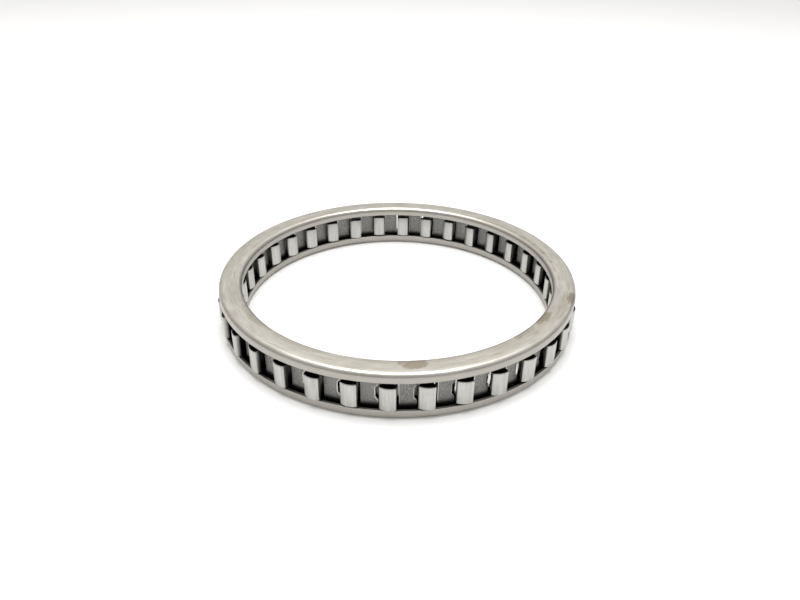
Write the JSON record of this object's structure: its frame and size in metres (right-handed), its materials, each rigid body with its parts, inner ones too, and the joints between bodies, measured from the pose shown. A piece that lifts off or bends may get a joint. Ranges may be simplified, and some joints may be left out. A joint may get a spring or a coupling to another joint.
{
  "type": "sprag cage",
  "caption": "Caged sprag ring for a one-way clutch: two channel end rings hold inner and outer window bands, a ribbon spring and loose tilting sprags with convex faces.",
  "frame": {"origin": "centre of the ring on its lower end face", "axes": "+Z along the ring's axis; +X through sprag_01"},
  "size_m": [0.1199, 0.1195, 0.0153],
  "materials": {
    "ring_steel": "satin, turned grain and brown storage marks",
    "band_steel": "matt, dark mottled grey",
    "spring_steel": "bright rolled strip",
    "sprag_steel": "ground, fine grain along the length"
  },
  "bodies": {
    "cage": {"lower_end_ring": "ring_steel", "upper_end_ring": "ring_steel", "outer_cage": "band_steel", "inner_cage": "band_steel", "ribbon_spring": "spring_steel"},
    "sprag_01": {"sprag_01": "sprag_steel"},
    "sprag_02": {"sprag_02": "sprag_steel"},
    "sprag_03": {"sprag_03": "sprag_steel"},
    "sprag_04": {"sprag_04": "sprag_steel"},
    "sprag_05": {"sprag_05": "sprag_steel"},
    "sprag_06": {"sprag_06": "sprag_steel"},
    "sprag_07": {"sprag_07": "sprag_steel"},
    "sprag_08": {"sprag_08": "sprag_steel"},
    "sprag_09": {"sprag_09": "sprag_steel"},
    "sprag_10": {"sprag_10": "sprag_steel"},
    "sprag_11": {"sprag_11": "sprag_steel"},
    "sprag_12": {"sprag_12": "sprag_steel"},
    "sprag_13": {"sprag_13": "sprag_steel"},
    "sprag_14": {"sprag_14": "sprag_steel"},
    "sprag_15": {"sprag_15": "sprag_steel"},
    "sprag_16": {"sprag_16": "sprag_steel"},
    "sprag_17": {"sprag_17": "sprag_steel"},
    "sprag_18": {"sprag_18": "sprag_steel"},
    "sprag_19": {"sprag_19": "sprag_steel"},
    "sprag_20": {"sprag_20": "sprag_steel"},
    "sprag_21": {"sprag_21": "sprag_steel"},
    "sprag_22": {"sprag_22": "sprag_steel"},
    "sprag_23": {"sprag_23": "sprag_steel"},
    "sprag_24": {"sprag_24": "sprag_steel"},
    "sprag_25": {"sprag_25": "sprag_steel"},
    "sprag_26": {"sprag_26": "sprag_steel"},
    "sprag_27": {"sprag_27": "sprag_steel"},
    "sprag_28": {"sprag_28": "sprag_steel"},
    "sprag_29": {"sprag_29": "sprag_steel"},
    "sprag_30": {"sprag_30": "sprag_steel"},
    "sprag_31": {"sprag_31": "sprag_steel"},
    "sprag_32": {"sprag_32": "sprag_steel"},
    "sprag_33": {"sprag_33": "sprag_steel"},
    "sprag_34": {"sprag_34": "sprag_steel"}
  },
  "joints": [
    {"name": "sprag_01_tilt", "type": "hinge", "parent": "cage", "child": "sprag_01", "pos_m": [0.05578, 0, 0.00762], "axis": [0, 0, 1], "range_deg": [-2, 8], "stiffness_Nm_per_rad": 0.002},
    {"name": "sprag_02_tilt", "type": "hinge", "parent": "cage", "child": "sprag_02", "pos_m": [0.05483, 0.01025, 0.00762], "axis": [0, 0, 1], "range_deg": [-2, 8], "stiffness_Nm_per_rad": 0.002},
    {"name": "sprag_03_tilt", "type": "hinge", "parent": "cage", "child": "sprag_03", "pos_m": [0.05201, 0.02015, 0.00762], "axis": [0, 0, 1], "range_deg": [-2, 8], "stiffness_Nm_per_rad": 0.002},
    {"name": "sprag_04_tilt", "type": "hinge", "parent": "cage", "child": "sprag_04", "pos_m": [0.04743, 0.02936, 0.00762], "axis": [0, 0, 1], "range_deg": [-2, 8], "stiffness_Nm_per_rad": 0.002},
    {"name": "sprag_05_tilt", "type": "hinge", "parent": "cage", "child": "sprag_05", "pos_m": [0.04122, 0.03758, 0.00762], "axis": [0, 0, 1], "range_deg": [-2, 8], "stiffness_Nm_per_rad": 0.002},
    {"name": "sprag_06_tilt", "type": "hinge", "parent": "cage", "child": "sprag_06", "pos_m": [0.03361, 0.04451, 0.00762], "axis": [0, 0, 1], "range_deg": [-2, 8], "stiffness_Nm_per_rad": 0.002},
    {"name": "sprag_07_tilt", "type": "hinge", "parent": "cage", "child": "sprag_07", "pos_m": [0.02486, 0.04993, 0.00762], "axis": [0, 0, 1], "range_deg": [-2, 8], "stiffness_Nm_per_rad": 0.002},
    {"name": "sprag_08_tilt", "type": "hinge", "parent": "cage", "child": "sprag_08", "pos_m": [0.01526, 0.05365, 0.00762], "axis": [0, 0, 1], "range_deg": [-2, 8], "stiffness_Nm_per_rad": 0.002},
    {"name": "sprag_09_tilt", "type": "hinge", "parent": "cage", "child": "sprag_09", "pos_m": [0.00515, 0.05554, 0.00762], "axis": [0, 0, 1], "range_deg": [-2, 8], "stiffness_Nm_per_rad": 0.002},
    {"name": "sprag_10_tilt", "type": "hinge", "parent": "cage", "child": "sprag_10", "pos_m": [-0.00515, 0.05554, 0.00762], "axis": [0, 0, 1], "range_deg": [-2, 8], "stiffness_Nm_per_rad": 0.002},
    {"name": "sprag_11_tilt", "type": "hinge", "parent": "cage", "child": "sprag_11", "pos_m": [-0.01526, 0.05365, 0.00762], "axis": [0, 0, 1], "range_deg": [-2, 8], "stiffness_Nm_per_rad": 0.002},
    {"name": "sprag_12_tilt", "type": "hinge", "parent": "cage", "child": "sprag_12", "pos_m": [-0.02486, 0.04993, 0.00762], "axis": [0, 0, 1], "range_deg": [-2, 8], "stiffness_Nm_per_rad": 0.002},
    {"name": "sprag_13_tilt", "type": "hinge", "parent": "cage", "child": "sprag_13", "pos_m": [-0.03361, 0.04451, 0.00762], "axis": [0, 0, 1], "range_deg": [-2, 8], "stiffness_Nm_per_rad": 0.002},
    {"name": "sprag_14_tilt", "type": "hinge", "parent": "cage", "child": "sprag_14", "pos_m": [-0.04122, 0.03758, 0.00762], "axis": [0, 0, 1], "range_deg": [-2, 8], "stiffness_Nm_per_rad": 0.002},
    {"name": "sprag_15_tilt", "type": "hinge", "parent": "cage", "child": "sprag_15", "pos_m": [-0.04743, 0.02936, 0.00762], "axis": [0, 0, 1], "range_deg": [-2, 8], "stiffness_Nm_per_rad": 0.002},
    {"name": "sprag_16_tilt", "type": "hinge", "parent": "cage", "child": "sprag_16", "pos_m": [-0.05201, 0.02015, 0.00762], "axis": [0, 0, 1], "range_deg": [-2, 8], "stiffness_Nm_per_rad": 0.002},
    {"name": "sprag_17_tilt", "type": "hinge", "parent": "cage", "child": "sprag_17", "pos_m": [-0.05483, 0.01025, 0.00762], "axis": [0, 0, 1], "range_deg": [-2, 8], "stiffness_Nm_per_rad": 0.002},
    {"name": "sprag_18_tilt", "type": "hinge", "parent": "cage", "child": "sprag_18", "pos_m": [-0.05578, 0, 0.00762], "axis": [0, 0, 1], "range_deg": [-2, 8], "stiffness_Nm_per_rad": 0.002},
    {"name": "sprag_19_tilt", "type": "hinge", "parent": "cage", "child": "sprag_19", "pos_m": [-0.05483, -0.01025, 0.00762], "axis": [0, 0, 1], "range_deg": [-2, 8], "stiffness_Nm_per_rad": 0.002},
    {"name": "sprag_20_tilt", "type": "hinge", "parent": "cage", "child": "sprag_20", "pos_m": [-0.05201, -0.02015, 0.00762], "axis": [0, 0, 1], "range_deg": [-2, 8], "stiffness_Nm_per_rad": 0.002},
    {"name": "sprag_21_tilt", "type": "hinge", "parent": "cage", "child": "sprag_21", "pos_m": [-0.04743, -0.02936, 0.00762], "axis": [0, 0, 1], "range_deg": [-2, 8], "stiffness_Nm_per_rad": 0.002},
    {"name": "sprag_22_tilt", "type": "hinge", "parent": "cage", "child": "sprag_22", "pos_m": [-0.04122, -0.03758, 0.00762], "axis": [0, 0, 1], "range_deg": [-2, 8], "stiffness_Nm_per_rad": 0.002},
    {"name": "sprag_23_tilt", "type": "hinge", "parent": "cage", "child": "sprag_23", "pos_m": [-0.03361, -0.04451, 0.00762], "axis": [0, 0, 1], "range_deg": [-2, 8], "stiffness_Nm_per_rad": 0.002},
    {"name": "sprag_24_tilt", "type": "hinge", "parent": "cage", "child": "sprag_24", "pos_m": [-0.02486, -0.04993, 0.00762], "axis": [0, 0, 1], "range_deg": [-2, 8], "stiffness_Nm_per_rad": 0.002},
    {"name": "sprag_25_tilt", "type": "hinge", "parent": "cage", "child": "sprag_25", "pos_m": [-0.01526, -0.05365, 0.00762], "axis": [0, 0, 1], "range_deg": [-2, 8], "stiffness_Nm_per_rad": 0.002},
    {"name": "sprag_26_tilt", "type": "hinge", "parent": "cage", "child": "sprag_26", "pos_m": [-0.00515, -0.05554, 0.00762], "axis": [0, 0, 1], "range_deg": [-2, 8], "stiffness_Nm_per_rad": 0.002},
    {"name": "sprag_27_tilt", "type": "hinge", "parent": "cage", "child": "sprag_27", "pos_m": [0.00515, -0.05554, 0.00762], "axis": [0, 0, 1], "range_deg": [-2, 8], "stiffness_Nm_per_rad": 0.002},
    {"name": "sprag_28_tilt", "type": "hinge", "parent": "cage", "child": "sprag_28", "pos_m": [0.01526, -0.05365, 0.00762], "axis": [0, 0, 1], "range_deg": [-2, 8], "stiffness_Nm_per_rad": 0.002},
    {"name": "sprag_29_tilt", "type": "hinge", "parent": "cage", "child": "sprag_29", "pos_m": [0.02486, -0.04993, 0.00762], "axis": [0, 0, 1], "range_deg": [-2, 8], "stiffness_Nm_per_rad": 0.002},
    {"name": "sprag_30_tilt", "type": "hinge", "parent": "cage", "child": "sprag_30", "pos_m": [0.03361, -0.04451, 0.00762], "axis": [0, 0, 1], "range_deg": [-2, 8], "stiffness_Nm_per_rad": 0.002},
    {"name": "sprag_31_tilt", "type": "hinge", "parent": "cage", "child": "sprag_31", "pos_m": [0.04122, -0.03758, 0.00762], "axis": [0, 0, 1], "range_deg": [-2, 8], "stiffness_Nm_per_rad": 0.002},
    {"name": "sprag_32_tilt", "type": "hinge", "parent": "cage", "child": "sprag_32", "pos_m": [0.04743, -0.02936, 0.00762], "axis": [0, 0, 1], "range_deg": [-2, 8], "stiffness_Nm_per_rad": 0.002},
    {"name": "sprag_33_tilt", "type": "hinge", "parent": "cage", "child": "sprag_33", "pos_m": [0.05201, -0.02015, 0.00762], "axis": [0, 0, 1], "range_deg": [-2, 8], "stiffness_Nm_per_rad": 0.002},
    {"name": "sprag_34_tilt", "type": "hinge", "parent": "cage", "child": "sprag_34", "pos_m": [0.05483, -0.01025, 0.00762], "axis": [0, 0, 1], "range_deg": [-2, 8], "stiffness_Nm_per_rad": 0.002}
  ],
  "couplings": [
    {"joint": "sprag_02_tilt", "follows": "sprag_01_tilt", "ratio": 1},
    {"joint": "sprag_03_tilt", "follows": "sprag_01_tilt", "ratio": 1},
    {"joint": "sprag_04_tilt", "follows": "sprag_01_tilt", "ratio": 1},
    {"joint": "sprag_05_tilt", "follows": "sprag_01_tilt", "ratio": 1},
    {"joint": "sprag_06_tilt", "follows": "sprag_01_tilt", "ratio": 1},
    {"joint": "sprag_07_tilt", "follows": "sprag_01_tilt", "ratio": 1},
    {"joint": "sprag_08_tilt", "follows": "sprag_01_tilt", "ratio": 1},
    {"joint": "sprag_09_tilt", "follows": "sprag_01_tilt", "ratio": 1},
    {"joint": "sprag_10_tilt", "follows": "sprag_01_tilt", "ratio": 1},
    {"joint": "sprag_11_tilt", "follows": "sprag_01_tilt", "ratio": 1},
    {"joint": "sprag_12_tilt", "follows": "sprag_01_tilt", "ratio": 1},
    {"joint": "sprag_13_tilt", "follows": "sprag_01_tilt", "ratio": 1},
    {"joint": "sprag_14_tilt", "follows": "sprag_01_tilt", "ratio": 1},
    {"joint": "sprag_15_tilt", "follows": "sprag_01_tilt", "ratio": 1},
    {"joint": "sprag_16_tilt", "follows": "sprag_01_tilt", "ratio": 1},
    {"joint": "sprag_17_tilt", "follows": "sprag_01_tilt", "ratio": 1},
    {"joint": "sprag_18_tilt", "follows": "sprag_01_tilt", "ratio": 1},
    {"joint": "sprag_19_tilt", "follows": "sprag_01_tilt", "ratio": 1},
    {"joint": "sprag_20_tilt", "follows": "sprag_01_tilt", "ratio": 1},
    {"joint": "sprag_21_tilt", "follows": "sprag_01_tilt", "ratio": 1},
    {"joint": "sprag_22_tilt", "follows": "sprag_01_tilt", "ratio": 1},
    {"joint": "sprag_23_tilt", "follows": "sprag_01_tilt", "ratio": 1},
    {"joint": "sprag_24_tilt", "follows": "sprag_01_tilt", "ratio": 1},
    {"joint": "sprag_25_tilt", "follows": "sprag_01_tilt", "ratio": 1},
    {"joint": "sprag_26_tilt", "follows": "sprag_01_tilt", "ratio": 1},
    {"joint": "sprag_27_tilt", "follows": "sprag_01_tilt", "ratio": 1},
    {"joint": "sprag_28_tilt", "follows": "sprag_01_tilt", "ratio": 1},
    {"joint": "sprag_29_tilt", "follows": "sprag_01_tilt", "ratio": 1},
    {"joint": "sprag_30_tilt", "follows": "sprag_01_tilt", "ratio": 1},
    {"joint": "sprag_31_tilt", "follows": "sprag_01_tilt", "ratio": 1},
    {"joint": "sprag_32_tilt", "follows": "sprag_01_tilt", "ratio": 1},
    {"joint": "sprag_33_tilt", "follows": "sprag_01_tilt", "ratio": 1},
    {"joint": "sprag_34_tilt", "follows": "sprag_01_tilt", "ratio": 1}
  ]
}
